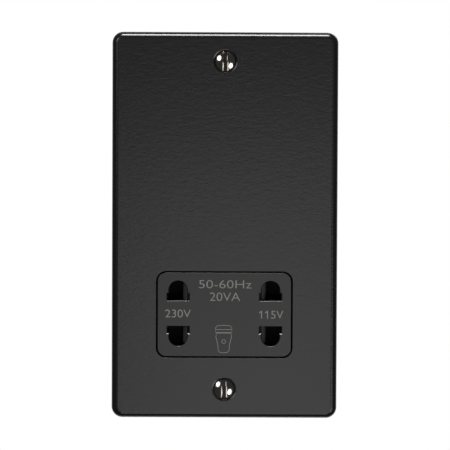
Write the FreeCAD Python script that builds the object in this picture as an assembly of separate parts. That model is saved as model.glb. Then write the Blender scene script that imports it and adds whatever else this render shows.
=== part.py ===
import FreeCAD
import Part
import math
import os

V = FreeCAD.Vector

# Two-gang dual voltage shaver socket, front facing -Y, wall plane at y = 0.
# X runs to the right, Z up, and the origin is the plate's centre in the wall plane.

# Fixing screws: their centres, the fixed distance of a two-gang wall box, and one raised countersunk screw
fixing_pitch = 120.6
head_radius = 3.6
head_dome = 0.9
head_slot_width = 1.2
head_slot_depth = 1.0
thread_radius = 1.75
thread_start = -0.5
thread_end = 25.0
thread_chamfer = 0.6
neck_relief = 0.3
retainer_lap = 1.1
retainer_thickness = 0.9

# Face plate, pressed from sheet, with a dimple for each screw head
plate_depth = 5.0
plate_sheet = 1.2
plate_corner_radius = 4.0
plate_edge_radius = 2.4
plate_side_margin = 10.5
plate_end_margin = 10.7
dimple_margin = 0.5
dimple_lip_radius = 0.6
dimple_hole_clearance = 0.35
dimple_land = 0.8

# Outlets: pin apertures, measured from the centre of each outlet
outlet_pitch = 34.0
outlet_rise = 0.4
aperture_start = 4.6
blade_slot_width = 8.45
blade_slot_height = 2.9
pin_slot_width = 7.0
pin_slot_straight = 1.15
aperture_edge = 0.25

# Socket insert
insert_side_land = 3.475
insert_end_land = 3.0
insert_corner_radius = 3.3
insert_gap = 0.45
insert_thickness = 2.8
insert_flange = 2.0
insert_edge = 0.3

# Mounting frame
frame_clearance = 0.2
frame_web = 2.0
frame_rim = 3.0
frame_dimple_gap = 1.0
frame_rib_width = 1.4
frame_rib_count = 5
frame_rib_pitch = 24.0
boss_step = 0.3
boss_floor = 0.65

# Interlock shutter
slide_clearance = 0.2
shutter_thickness = 2.6
shutter_overlap = 1.8
shutter_travel = 3.5
shutter_end_gap = 0.85
shutter_end_width = 5.3
shutter_bar_height = 14.0
shutter_chamfer = 1.2
spring_window_web = 1.4
spring_window_height = 3.2

# Return springs
spring_coil_radius = 0.95
spring_wire = 0.3
spring_turns = 5
spring_facets = 12

# Contact base
base_inset = 0.75
base_floor = 1.0
tower_wall = 1.5
tower_depth = 16.2
cavity_side_margin = 0.375
cavity_inner_margin = 0.6
cavity_outer_margin = 0.45
spring_post_width = 2.4
spring_post_height = 2.6

# Slide switch in a pocket under the shutter
switch_pocket_depth = 2.0
switch_pocket_land = 2.4
switch_strip = 0.4
strip_end_gap = 0.5
strip_width = 1.2
link_inset = 0.8
load_reach = 1.3
strip_pitch = 1.8
pocket_margin = 0.9
pocket_head = 1.6
load_gap = 2.4
strip_tail_length = 3.7
bridge_width = 2.4
bridge_thickness = 0.3
wipe_clearance = 0.1
tail_clearance = 0.1
bridge_root_gap = 0.5
bridge_tip = 0.4

# Leaf contacts
leaf_width = 6.0
leaf_thickness = 0.4
leaf_lead_in = 0.4
leaf_rise_length = 4.8
leaf_fall_length = 5.5
leaf_tail = 4.5
leaf_bow = 1.15

# Mechanism screws
mechanism_screw_inset = 2.6
mechanism_screw_radius = 1.25
mechanism_head_radius = 2.4
mechanism_head_height = 1.6
mechanism_screw_bite = 2.0

# Rear housing
housing_wall = 2.0
housing_corner_radius = 3.0
screw_zone = 6.3
base_side_gap = 3.05
base_end_gap = 2.4
step_gap = 15.0
lead_space = 6.0
ear_x = 22.0
ear_offset = 3.0
ear_length = 7.3
ear_radius = 3.2
ear_screw_radius = 1.4
ear_head_radius = 2.7
ear_head_height = 1.9
base_rib_width = 4.0
base_rib_inset = 4.0
base_rib_lap = 1.55
vent_width = 2.2
vent_length = 15.0
vent_pitch = 4.6
top_vent_pitch = 9.2
vent_count = 5

# Transformer core, an E and I lamination pair with its stack along Y
core_window = 9.0
core_stack = 19.0
core_side_gap = 2.0
core_low_gap = 3.8
core_high_gap = 2.2
core_hole_radius = 1.75
core_screw_radius = 1.5
core_screw_bite = 6.0
core_head_radius = 2.8
core_head_height = 1.6
post_wall = 1.4
post_hole_rest = 1.0

# Bobbin, windings and thermal cut-out
bobbin_wall = 1.0
bobbin_clearance = 0.15
bobbin_end_clearance = 0.2
bobbin_flange_gap = 0.4
bobbin_flange_radius = 1.5
winding_inset = 1.0
winding_corner_radius = 4.0
coil_rear_gap = 0.4
cutout_width = 10.0
cutout_height = 7.0
cutout_thickness = 3.4
cutout_gap = 0.8
cutout_edge_radius = 0.8

# Terminals and the earth strap
terminal_width = 8.0
terminal_length = 10.4
terminal_gap = 0.6
terminal_bore_radius = 1.75
terminal_bore_height = 4.6
terminal_thread_length = 2.45
terminal_screw_radius = 1.5
terminal_screw_clearance = 0.4
terminal_head_radius = 2.6
terminal_head_height = 2.2
terminal_tail_radius = 1.1
terminal_tail_reach = 2.5
terminal_edge = 0.4
barrier_wall = 2.6
barrier_side = 1.4
barrier_clearance = 0.2
strap_thickness = 0.8
strap_width = 6.0
strap_foot_margin = 2.1

# Screw and dimple sizes that follow
neck_radius = thread_radius - neck_relief
retainer_radius = thread_radius + dimple_hole_clearance + retainer_lap
dimple_radius = head_radius + dimple_margin
dimple_hole_radius = thread_radius + dimple_hole_clearance
funnel_depth = dimple_radius - dimple_hole_radius
dimple_depth = funnel_depth + dimple_land
dimple_back_radius = dimple_radius + plate_sheet * (math.sqrt(2) - 1)

# Plan sizes that follow, from the outlets outwards
aperture_end = aperture_start + blade_slot_height + pin_slot_straight + pin_slot_width / 2
insert_width = outlet_pitch + blade_slot_width + 2 * insert_side_land
insert_height = 2 * (outlet_rise + aperture_end + insert_end_land)
base_width = insert_width + 2 * (insert_flange - base_inset)
base_height = insert_height + 2 * (insert_flange - base_inset)
housing_width = base_width + 2 * (base_side_gap + housing_wall)
housing_height = fixing_pitch - 2 * screw_zone
plate_width = housing_width + 2 * plate_side_margin
plate_height = fixing_pitch + 2 * plate_end_margin
frame_width = plate_width - 2 * (plate_sheet + frame_clearance)
frame_height = plate_height - 2 * (plate_sheet + frame_clearance)

# Heights that follow
insert_z = -housing_height / 2 + housing_wall + base_end_gap + base_height / 2
outlet_z = insert_z + outlet_rise
bay_step = insert_z + base_height / 2 + step_gap
ear_z = housing_height / 2 + ear_offset
boss_radius = ear_offset - frame_clearance
mechanism_screw_offset = base_height / 2 - mechanism_screw_inset

# Depths that follow, from the front face backwards
front_y = -plate_depth
plate_back_y = front_y + plate_sheet
head_rim_y = front_y + dimple_margin
dimple_end_y = front_y + dimple_depth
frame_back_y = plate_back_y + frame_web
boss_back_y = -boss_step
insert_back_y = front_y + insert_thickness
shutter_front_y = insert_back_y + slide_clearance
shutter_rear_y = shutter_front_y + shutter_thickness
channel_floor = shutter_rear_y + slide_clearance
switch_pocket_floor = channel_floor + switch_pocket_depth
base_plate_rear = switch_pocket_floor + base_floor
tower_rear = base_plate_rear + tower_depth
socket_bay_rear = tower_rear + lead_space + housing_wall
ear_rear_y = boss_back_y + ear_length

# Pin cavities and shutter sizes that follow
cavity_width = blade_slot_width + 2 * cavity_side_margin
cavity_start = aperture_start - cavity_inner_margin
cavity_end = aperture_end + cavity_outer_margin
shutter_reach = outlet_pitch / 2 - pin_slot_width / 2 + shutter_overlap
shutter_half_height = aperture_end - shutter_end_gap
shutter_bar_half = shutter_reach - shutter_end_width
spring_window_half = shutter_bar_half - spring_window_web

# Switch places that follow, below the outlets' centre line
switch_pocket_half = outlet_pitch / 2 - cavity_width / 2 - switch_pocket_land
strip_half_length = switch_pocket_half - strip_end_gap
load_link_z = link_inset - shutter_bar_height / 2
strip_load_z = -shutter_bar_height / 2 - load_reach
strip_common_z = strip_load_z - strip_pitch
switch_pocket_bottom = strip_common_z - pocket_margin
switch_pocket_top = load_link_z + pocket_head
strip_tail_end = base_plate_rear + strip_tail_length
strip_front_y = switch_pocket_floor - switch_strip
leaf_root = cavity_start + leaf_thickness

# Transformer sizes that follow
core_width = housing_width - 2 * (housing_wall + core_side_gap)
core_leg = core_width / 2 - core_window
core_yoke = core_leg / 2
core_bottom = bay_step + housing_wall + core_low_gap
core_top = housing_height / 2 - housing_wall - core_high_gap
window_bottom = core_bottom + core_yoke
window_top = core_top - core_yoke
flange_build = core_window - bobbin_flange_gap
flange_x = core_leg / 2 + flange_build
flange_y = core_stack / 2 + flange_build
core_centre_y = frame_back_y + cutout_gap + cutout_thickness - winding_inset + flange_y
core_front = core_centre_y - core_stack / 2
core_rear = core_centre_y + core_stack / 2
transformer_bay_rear = core_centre_y + flange_y + coil_rear_gap + housing_wall
core_screw_x = (core_width - core_yoke) / 2
core_screw_z = (core_bottom + core_yoke / 2, core_top - core_yoke / 2)
bobbin_hole_x = core_leg / 2 + bobbin_clearance
bobbin_hole_y = core_stack / 2 + bobbin_clearance
bobbin_bottom = window_bottom + bobbin_end_clearance
bobbin_top = window_top - bobbin_end_clearance
bobbin_middle = (bobbin_bottom + bobbin_top) / 2

# Terminal places that follow
terminal_pitch = terminal_width + 2 * barrier_clearance + barrier_wall
terminal_top = bay_step - terminal_gap
terminal_bottom = terminal_top - terminal_length
terminal_z = (terminal_top + terminal_bottom) / 2
terminal_bore_y = socket_bay_rear + strap_thickness + terminal_bore_height
terminal_rear = terminal_bore_y + terminal_bore_radius + terminal_thread_length
strap_foot_end = frame_width / 2 - strap_foot_margin

outlets = {"230v": -outlet_pitch / 2, "115v": outlet_pitch / 2}
terminals = {"live": -terminal_pitch, "neutral": 0.0, "earth": terminal_pitch}
fixing_places = (-fixing_pitch / 2, fixing_pitch / 2)
ear_places = [(sx * ear_x, sz * ear_z) for sx in (-1, 1) for sz in (-1, 1)]
core_screw_places = [(side * core_screw_x, z) for z in core_screw_z for side in (-1, 1)]

# Working tolerances
tolerance = 1e-6
cut_past = 1.0


# Helpers


def block(x0, x1, y0, y1, z0, z1):
    return Part.makeBox(x1 - x0, y1 - y0, z1 - z0, V(x0, y0, z0))


def rod(radius, y0, y1, x=0.0, z=0.0):
    return Part.makeCylinder(radius, y1 - y0, V(x, y0, z), V(0, 1, 0))


def along(edge, axis):
    """True for a straight edge that runs along the axis."""
    if not isinstance(edge.Curve, Part.Line):
        return False
    return edge.Curve.Direction.cross(axis).Length < tolerance


def slab(width, height, radius, y0, y1, x=0.0, z=0.0):
    """A plate facing Y with round corners in plan."""
    plate = block(x - width / 2, x + width / 2, y0, y1, z - height / 2, z + height / 2)
    if radius <= 0:
        return plate
    return plate.makeFillet(radius, [e for e in plate.Edges if along(e, V(0, 1, 0))])


def edges_at(shape, y):
    """The edges that lie wholly in the plane at depth y."""
    boxes = [(e, e.BoundBox) for e in shape.Edges]
    return [e for e, b in boxes if abs(b.YMin - y) < tolerance and abs(b.YMax - y) < tolerance]


def turned(profile, x=0.0, z=0.0):
    """A solid turned about an axis along Y from (radius, y) points."""
    points = [V(x + r, y, z) for r, y in profile]
    face = Part.Face(Part.makePolygon(points + points[:1]))
    return face.revolve(V(x, 0, z), V(0, 1, 0), 360)


def bent_strip(points, thickness, width_direction):
    """A strip of constant thickness, bent along the points and as wide as the direction is long."""
    path = Part.makePolygon([p - width_direction * 0.5 for p in points])
    outline = path.makeOffset2D(thickness / 2, 0, False, False, False)
    return Part.Face(outline).extrude(width_direction)


def joined(shapes):
    whole = shapes[0]
    if len(shapes) > 1:
        whole = whole.fuse(shapes[1:])
    return whole.removeSplitter()


def screw(radius, tip_y, seat_y, end_y, head, x, z):
    """A plain screw whose head seats at seat_y and ends at end_y."""
    shank = [(0, tip_y), (radius, tip_y), (radius, seat_y)]
    return turned(shank + [(head, seat_y), (head, end_y), (0, end_y)], x, z)


# Face plate


def plate_blank(margin):
    """The plate's outside, or its inside when the margin is the sheet, with square front edges."""
    corner = plate_corner_radius - margin
    return slab(plate_width - 2 * margin, plate_height - 2 * margin, corner, front_y + margin, 0)


def dimple_collar(z):
    """The metal pressed back round a screw."""
    end_radius = dimple_back_radius - (dimple_end_y - plate_back_y)
    return turned([
        (0, front_y), (dimple_back_radius, front_y), (dimple_back_radius, plate_back_y),
        (end_radius, dimple_end_y), (0, dimple_end_y),
    ], 0, z)


def dimple_funnel(z):
    """The space in front of a dimple, where the screw sits."""
    return turned([
        (0, front_y), (dimple_radius, front_y), (dimple_hole_radius, front_y + funnel_depth),
        (dimple_hole_radius, dimple_end_y), (0, dimple_end_y),
    ], 0, z)


def face_plate():
    outside, inside = plate_blank(0), plate_blank(plate_sheet)
    outside = outside.makeFillet(plate_edge_radius, edges_at(outside, front_y))
    inside = inside.makeChamfer(plate_edge_radius - plate_sheet, edges_at(inside, plate_back_y))
    plate = outside.cut(inside)
    for z in fixing_places:
        plate = plate.fuse(dimple_collar(z)).removeSplitter().cut(dimple_funnel(z))
    lips = [
        e for e in edges_at(plate, front_y)
        if isinstance(e.Curve, Part.Circle) and abs(e.Curve.Radius - dimple_radius) < tolerance
    ]
    plate = plate.makeFillet(dimple_lip_radius, lips)
    window = slab(
        insert_width + 2 * insert_gap, insert_height + 2 * insert_gap,
        insert_corner_radius + insert_gap, front_y, plate_back_y, 0, insert_z,
    )
    return plate.cut(window)


# Fixing screws and the washers that hold them captive


def dome_point(radius):
    """How far the domed head has fallen from its crown at a radius."""
    sphere = (head_radius ** 2 + head_dome ** 2) / (2 * head_dome)
    return sphere - math.sqrt(sphere ** 2 - radius ** 2)


def fixing_screw(z):
    rim = head_rim_y
    crown = rim - head_dome
    half = head_radius / 2
    arc = Part.Arc(V(0, crown, z), V(half, crown + dome_point(half), z), V(head_radius, rim, z))
    points = [
        V(head_radius, rim, z), V(neck_radius, rim + head_radius - neck_radius, z),
        V(neck_radius, thread_start, z), V(thread_radius, thread_start, z),
        V(thread_radius, thread_end - thread_chamfer, z),
        V(thread_radius - thread_chamfer, thread_end, z), V(0, thread_end, z), V(0, crown, z),
    ]
    lines = [Part.makeLine(a, b) for a, b in zip(points, points[1:])]
    body = Part.Face(Part.Wire([arc.toShape()] + lines)).revolve(V(0, 0, z), V(0, 1, 0), 360)
    width = head_slot_width / 2
    reach = head_radius + cut_past
    return body.cut(block(-width, width, crown - cut_past, crown + head_slot_depth, z - reach, z + reach))


def fixing_screws():
    return Part.makeCompound([fixing_screw(z) for z in fixing_places])


def screw_retainers():
    end = dimple_end_y + retainer_thickness
    rings = [
        rod(retainer_radius, dimple_end_y, end, 0, z).cut(rod(neck_radius, dimple_end_y, end, 0, z))
        for z in fixing_places
    ]
    return Part.makeCompound(rings)


# Socket insert


def aperture(x, side):
    """One pin opening: a blade slot next to the outlet's centre, and an arched pin slot beyond it."""
    blade, pin = blade_slot_width / 2, pin_slot_width / 2
    step = aperture_start + blade_slot_height
    spring = aperture_end - pin
    outline = [(-blade, aperture_start), (blade, aperture_start), (blade, step), (pin, step), (pin, spring)]
    closing = [(-pin, spring), (-pin, step), (-blade, step), (-blade, aperture_start)]

    def place(u, w):
        return V(x + u, front_y, outlet_z + side * w)

    right = [place(*p) for p in outline]
    left = [place(*p) for p in closing]
    edges = [Part.makeLine(a, b) for a, b in zip(right, right[1:])]
    edges.append(Part.Arc(right[-1], place(0, aperture_end), left[0]).toShape())
    edges += [Part.makeLine(a, b) for a, b in zip(left, left[1:])]
    return Part.Face(Part.Wire(edges)).extrude(V(0, insert_thickness, 0))


def socket_insert():
    body = slab(insert_width, insert_height, insert_corner_radius, front_y, insert_back_y, 0, insert_z)
    body = body.makeChamfer(insert_edge, edges_at(body, front_y))
    flange = slab(
        insert_width + 2 * insert_flange, insert_height + 2 * insert_flange,
        insert_corner_radius + insert_flange, plate_back_y, insert_back_y, 0, insert_z,
    )
    insert = body.fuse(flange).removeSplitter()
    for x in outlets.values():
        for side in (-1, 1):
            insert = insert.cut(aperture(x, side))
    inner_x = (insert_width - insert_side_land) / 2
    inner_z = (insert_height - insert_end_land) / 2
    rims = [
        e for e in edges_at(insert, front_y)
        if abs(e.CenterOfMass.x) < inner_x and abs(e.CenterOfMass.z - insert_z) < inner_z
    ]
    insert = insert.makeChamfer(aperture_edge, rims)
    for side in (-1, 1):
        z = insert_z + side * mechanism_screw_offset
        tip = insert_back_y - mechanism_screw_bite
        insert = insert.cut(rod(mechanism_screw_radius, tip, insert_back_y, 0, z))
    return insert


# Mounting frame


def frame_ribs():
    """Cross ribs between the frame's rim and the rear housing's sides."""
    inner = housing_width / 2 + frame_clearance + strap_thickness + frame_clearance
    outer = frame_width / 2 - frame_rim
    half = frame_rib_width / 2
    ribs = []
    for n in range(frame_rib_count):
        z = (n - (frame_rib_count - 1) / 2) * frame_rib_pitch
        for x0, x1 in ((-outer, -inner), (inner, outer)):
            ribs.append(block(x0, x1, frame_back_y, boss_back_y, z - half, z + half))
    return ribs


def mounting_frame():
    corner = plate_corner_radius - plate_sheet - frame_clearance
    frame = slab(frame_width, frame_height, corner, plate_back_y, 0)
    edge = plate_edge_radius - plate_sheet + frame_clearance
    frame = frame.makeChamfer(edge, edges_at(frame, plate_back_y))
    frame = frame.cut(slab(frame_width - 2 * frame_rim, frame_height - 2 * frame_rim, 0, frame_back_y, 0))
    bosses = [rod(boss_radius, frame_back_y, boss_back_y, x, z) for x, z in ear_places]
    frame = joined([frame] + bosses + frame_ribs())
    margin = 2 * (insert_flange + frame_clearance)
    frame = frame.cut(slab(
        insert_width + margin, insert_height + margin, insert_corner_radius + insert_flange + frame_clearance,
        plate_back_y, frame_back_y, 0, insert_z,
    ))
    for z in fixing_places:
        frame = frame.cut(rod(dimple_back_radius + frame_dimple_gap, plate_back_y, 0, 0, z))
    for x, z in ear_places:
        frame = frame.cut(rod(ear_screw_radius, plate_back_y + boss_floor, boss_back_y, x, z))
    half = strap_width / 2 + frame_clearance
    slot_end = strap_foot_end + strap_thickness
    z0, z1 = terminal_z - half, terminal_z + half
    return frame.cut(block(housing_width / 2, slot_end, plate_back_y, 0, z0, z1))


# Contact base


def cavity(x, side):
    z0, z1 = sorted((outlet_z + side * cavity_start, outlet_z + side * cavity_end))
    return block(x - cavity_width / 2, x + cavity_width / 2, insert_back_y, tower_rear - tower_wall, z0, z1)


def shutter_channel():
    run = shutter_reach + shutter_travel + slide_clearance
    tall = shutter_half_height + slide_clearance
    return block(-run, run, insert_back_y, channel_floor, outlet_z - tall, outlet_z + tall)


def switch_pocket():
    z0, z1 = outlet_z + switch_pocket_bottom, outlet_z + switch_pocket_top
    return block(-switch_pocket_half, switch_pocket_half, channel_floor, switch_pocket_floor, z0, z1)


def spring_post():
    half, tall = spring_post_width / 2, spring_post_height / 2
    front = shutter_front_y + slide_clearance
    return block(-half, half, front, channel_floor, outlet_z - tall, outlet_z + tall)


def contact_base():
    base = slab(base_width, base_height, insert_corner_radius, insert_back_y, base_plate_rear, 0, insert_z)
    half = cavity_width / 2 + tower_wall
    z0, z1 = outlet_z - cavity_end - tower_wall, outlet_z + cavity_end + tower_wall
    towers = [block(x - half, x + half, base_plate_rear, tower_rear, z0, z1) for x in outlets.values()]
    base = joined([base] + towers)
    base = base.cut(shutter_channel()).cut(switch_pocket()).fuse(spring_post())
    for x in outlets.values():
        for side in (-1, 1):
            base = base.cut(cavity(x, side)).cut(leaf_slot(x, side))
    for hole in strip_tail_holes():
        base = base.cut(hole)
    for side in (-1, 1):
        z = insert_z + side * mechanism_screw_offset
        base = base.cut(rod(mechanism_screw_radius + slide_clearance, insert_back_y, base_plate_rear, 0, z))
    return base.removeSplitter()


# Interlock shutter and its return springs


def shutter_end(side):
    """The tall end that covers half of two apertures, with its tip bevelled for the pins."""
    y0 = shutter_front_y
    x0, x1 = sorted((side * shutter_bar_half, side * shutter_reach))
    end = block(x0, x1, y0, shutter_rear_y, outlet_z - shutter_half_height, outlet_z + shutter_half_height)
    tips = [
        e for e in edges_at(end, y0)
        if along(e, V(0, 0, 1)) and abs(e.CenterOfMass.x - side * shutter_reach) < tolerance
    ]
    return end.makeChamfer(shutter_chamfer, tips)


def interlock_shutter():
    y0, y1 = shutter_front_y, shutter_rear_y
    half, window = shutter_bar_height / 2, spring_window_height / 2
    bar = block(-shutter_bar_half, shutter_bar_half, y0, y1, outlet_z - half, outlet_z + half)
    shutter = joined([bar, shutter_end(-1), shutter_end(1)])
    return shutter.cut(block(
        -spring_window_half, spring_window_half, y0, y1, outlet_z - window, outlet_z + window,
    ))


def return_spring(side):
    """A coil along X between the fixed post and the end of the shutter's window."""
    wire = spring_wire / 2
    start = spring_post_width / 2 + wire
    length = spring_window_half - start - wire
    centre_y = (shutter_front_y + shutter_rear_y) / 2
    steps = spring_turns * spring_facets
    points = []
    for n in range(steps + 1):
        angle = 2 * math.pi * n / spring_facets
        x = side * (start + length * n / steps)
        y = centre_y + spring_coil_radius * math.cos(angle)
        points.append(V(x, y, outlet_z + spring_coil_radius * math.sin(angle)))
    corners = [V(wire, 0, 0), V(0, wire, 0), V(-wire, 0, 0), V(0, -wire, 0), V(wire, 0, 0)]
    section = Part.makePolygon([points[0] + c for c in corners])
    return Part.makePolygon(points).makePipeShell([section], True, True, 1)


# Slide switch that the shutter works


def strip_tail(x, z, y0, y1, grow=0.0):
    """One strip's tail at its outer end x, or the hole for it when grown."""
    x0, x1 = sorted((x, x - math.copysign(switch_strip, x)))
    half = strip_width / 2 + grow
    return block(x0 - grow, x1 + grow, y0, y1, outlet_z + z - half, outlet_z + z + half)


def strip_tail_holes():
    return [
        strip_tail(x, z, switch_pocket_floor, base_plate_rear, tail_clearance)
        for x, z in ((strip_half_length, strip_common_z), (-strip_half_length, load_link_z))
    ]


def strip_bar(x0, x1, z, reach_down=0.0):
    half = strip_width / 2
    z0, z1 = outlet_z + z - half - reach_down, outlet_z + z + half
    return block(x0, x1, strip_front_y, switch_pocket_floor, z0, z1)


def switch_strip_common():
    bar = strip_bar(-strip_half_length, strip_half_length, strip_common_z)
    return joined([bar, strip_tail(strip_half_length, strip_common_z, strip_front_y, strip_tail_end)])


def switch_strip_load():
    drop = load_link_z - strip_load_z
    return joined([
        strip_bar(-strip_half_length, strip_half_length, load_link_z),
        strip_bar(-strip_half_length, -load_gap, load_link_z, drop),
        strip_bar(load_gap, strip_half_length, load_link_z, drop),
        strip_tail(-strip_half_length, load_link_z, strip_front_y, strip_tail_end),
    ])


def switch_bridge():
    """A two-finger wiper fixed under the shutter's bar."""
    half = bridge_thickness / 2
    top = shutter_rear_y + half
    touch = strip_front_y - wipe_clearance - half
    lift = (top + touch) / 2
    middle = (strip_load_z + strip_common_z) / 2
    points = [
        (top, switch_pocket_top - bridge_root_gap), (top, -shutter_bar_height / 2), (touch, strip_load_z),
        (lift, middle), (touch, strip_common_z), (lift, strip_common_z - bridge_tip),
    ]
    return bent_strip([V(0, y, outlet_z + z) for y, z in points], bridge_thickness, V(bridge_width, 0, 0))


# Leaf contacts


def leaf_contact(x, side):
    front = base_plate_rear + leaf_lead_in
    apex = front + leaf_rise_length
    rear = apex + leaf_fall_length
    tail = tower_rear + leaf_tail
    line = [(front, leaf_root), (apex, leaf_root + leaf_bow), (rear, leaf_root), (tail, leaf_root)]
    places = [V(x, y, outlet_z + side * z) for y, z in line]
    return bent_strip(places, leaf_thickness, V(leaf_width, 0, 0))


def leaf_slot(x, side):
    """The slot in a cavity's floor for the leaf's tail."""
    z0, z1 = sorted((outlet_z + side * cavity_start, outlet_z + side * (cavity_start + 2 * leaf_thickness)))
    half = leaf_width / 2 + slide_clearance
    return block(x - half, x + half, tower_rear - tower_wall, tower_rear, z0, z1)


def mechanism_screws():
    end = base_plate_rear + mechanism_head_height
    tip = insert_back_y - mechanism_screw_bite
    return Part.makeCompound([
        screw(mechanism_screw_radius, tip, base_plate_rear, end, mechanism_head_radius,
              0, insert_z + side * mechanism_screw_offset)
        for side in (-1, 1)
    ])


# Transformer core


def core_holes(shape, z):
    for side in (-1, 1):
        shape = shape.cut(rod(core_hole_radius, core_front, core_rear, side * core_screw_x, z))
    return shape


def core_e_stack():
    stack = block(-core_width / 2, core_width / 2, core_front, core_rear, core_bottom, window_top)
    for side in (-1, 1):
        x0, x1 = sorted((side * core_leg / 2, side * (core_leg / 2 + core_window)))
        stack = stack.cut(block(x0, x1, core_front, core_rear, window_bottom, window_top))
    return core_holes(stack, core_screw_z[0])


def core_i_stack():
    stack = block(-core_width / 2, core_width / 2, core_front, core_rear, window_top, core_top)
    return core_holes(stack, core_screw_z[1])


def core_screws():
    """Long screws through the core's corners into posts on the housing's rear wall."""
    return Part.makeCompound([
        screw(core_screw_radius, core_rear + core_screw_bite, core_front, core_front - core_head_height,
              core_head_radius, x, z)
        for x, z in core_screw_places
    ])


# Bobbin and windings, wound round the middle leg


def coil_ring(half_x, half_y, z0, z1, radius=0.0):
    ring = block(-half_x, half_x, core_centre_y - half_y, core_centre_y + half_y, z0, z1)
    if radius <= 0:
        return ring
    return ring.makeFillet(radius, [e for e in ring.Edges if along(e, V(0, 0, 1))])


def winding_bobbin():
    tube = coil_ring(bobbin_hole_x + bobbin_wall, bobbin_hole_y + bobbin_wall, bobbin_bottom, bobbin_top)
    levels = (bobbin_bottom, bobbin_middle - bobbin_wall / 2, bobbin_top - bobbin_wall)
    flanges = [coil_ring(flange_x, flange_y, z, z + bobbin_wall, bobbin_flange_radius) for z in levels]
    return joined([tube] + flanges).cut(coil_ring(bobbin_hole_x, bobbin_hole_y, bobbin_bottom, bobbin_top))


def winding(z0, z1):
    outer = coil_ring(flange_x - winding_inset, flange_y - winding_inset, z0, z1, winding_corner_radius)
    return outer.cut(coil_ring(bobbin_hole_x + bobbin_wall, bobbin_hole_y + bobbin_wall, z0, z1))


def winding_spans():
    half = bobbin_wall / 2
    lower = (bobbin_bottom + bobbin_wall, bobbin_middle - half)
    upper = (bobbin_middle + half, bobbin_top - bobbin_wall)
    return lower, upper


def thermal_cutout():
    """A protector that lies on the front of the lower winding."""
    rear = core_centre_y - flange_y + winding_inset
    front = rear - cutout_thickness
    middle = sum(winding_spans()[0]) / 2
    half_x, half_z = cutout_width / 2, cutout_height / 2
    body = block(-half_x, half_x, front, rear, middle - half_z, middle + half_z)
    return body.makeFillet(cutout_edge_radius, edges_at(body, front))


# Rear housing


def housing_block(margin):
    """The housing's outside, or its inside when the margin is the wall."""
    half_x = housing_width / 2 - margin
    end = housing_height / 2 - margin
    deep = block(-half_x, half_x, frame_back_y, transformer_bay_rear - margin, bay_step + margin, end)
    shallow = block(-half_x, half_x, frame_back_y, socket_bay_rear - margin, -end, bay_step + margin)
    shell = joined([deep, shallow])
    upright = [e for e in shell.Edges if along(e, V(0, 1, 0))]
    corners = [e for e in upright if abs(abs(e.CenterOfMass.z) - end) < tolerance]
    return shell.makeFillet(housing_corner_radius - margin, corners)


def housing_ear(x, z):
    wall_z = math.copysign((housing_height - housing_wall) / 2, z)
    z0, z1 = sorted((wall_z, z))
    web = block(x - ear_radius, x + ear_radius, boss_back_y, ear_rear_y, z0, z1)
    return web.fuse(rod(ear_radius, boss_back_y, ear_rear_y, x, z)).removeSplitter()


def core_posts():
    """Posts on the rear wall that the core is screwed to."""
    half = core_screw_radius + post_wall
    end = transformer_bay_rear - housing_wall
    return [block(x - half, x + half, core_rear, end, z - half, z + half) for x, z in core_screw_places]


def base_ribs():
    """Ribs on the side walls that press the contact base forward."""
    inner, outer = base_width / 2 - base_rib_lap, housing_width / 2 - housing_wall
    rear = socket_bay_rear - housing_wall
    half = base_rib_width / 2
    shapes = []
    for end in (-1, 1):
        z = insert_z + end * (base_height / 2 - base_rib_inset)
        for x0, x1 in ((-outer, -inner), (inner, outer)):
            shapes.append(block(x0, x1, base_plate_rear, rear, z - half, z + half))
    return shapes


def terminal_barriers():
    """Walls between and beside the terminals."""
    half = terminal_width / 2 + barrier_clearance
    outer = terminal_pitch + half
    spans = [(half, half + barrier_wall), (outer, outer + barrier_side)]
    spans += [(-x1, -x0) for x0, x1 in spans]
    return [block(x0, x1, socket_bay_rear, terminal_rear, terminal_bottom, bay_step) for x0, x1 in spans]


def vents():
    """Slots in the transformer bay's rear wall, and the same through its top end."""
    half, length = vent_width / 2, vent_length / 2
    wall_y, wall_z = transformer_bay_rear - housing_wall, housing_height / 2 - housing_wall
    slots = []
    for n in range(vent_count):
        step = n - (vent_count - 1) / 2
        z = (window_bottom + window_top) / 2 + step * vent_pitch
        x = step * top_vent_pitch
        slots.append(block(-length, length, wall_y, transformer_bay_rear, z - half, z + half))
        slots.append(block(x - half, x + half, core_front, core_rear, wall_z, housing_height / 2))
    return slots


def housing_holes():
    """Holes for the ear screws, the core screws and the tails of two terminals."""
    holes = [rod(ear_screw_radius + slide_clearance, boss_back_y, ear_rear_y, x, z) for x, z in ear_places]
    post_hole_end = core_rear + core_screw_bite + post_hole_rest
    holes += [rod(core_screw_radius, core_rear, post_hole_end, x, z) for x, z in core_screw_places]
    tail = terminal_tail_radius + slide_clearance
    wall = socket_bay_rear - housing_wall
    holes += [rod(tail, wall, socket_bay_rear, terminals[name], terminal_z) for name in ("live", "neutral")]
    return holes


def rear_housing():
    housing = housing_block(0).cut(housing_block(housing_wall))
    ears = [housing_ear(x, z) for x, z in ear_places]
    housing = joined([housing] + core_posts() + base_ribs() + terminal_barriers() + ears)
    for cut in vents() + housing_holes():
        housing = housing.cut(cut)
    half = strap_width / 2 + barrier_clearance
    notch_rear = socket_bay_rear + strap_thickness + barrier_clearance
    side = housing_width / 2
    notch = block(terminal_pitch, side, socket_bay_rear, notch_rear, terminal_z - half, terminal_z + half)
    return housing.cut(notch)


def housing_screws():
    tip = plate_back_y + boss_floor
    end = ear_rear_y + ear_head_height
    return Part.makeCompound([
        screw(ear_screw_radius, tip, ear_rear_y, end, ear_head_radius, x, z) for x, z in ear_places
    ])


# Terminals and the earth strap


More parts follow.
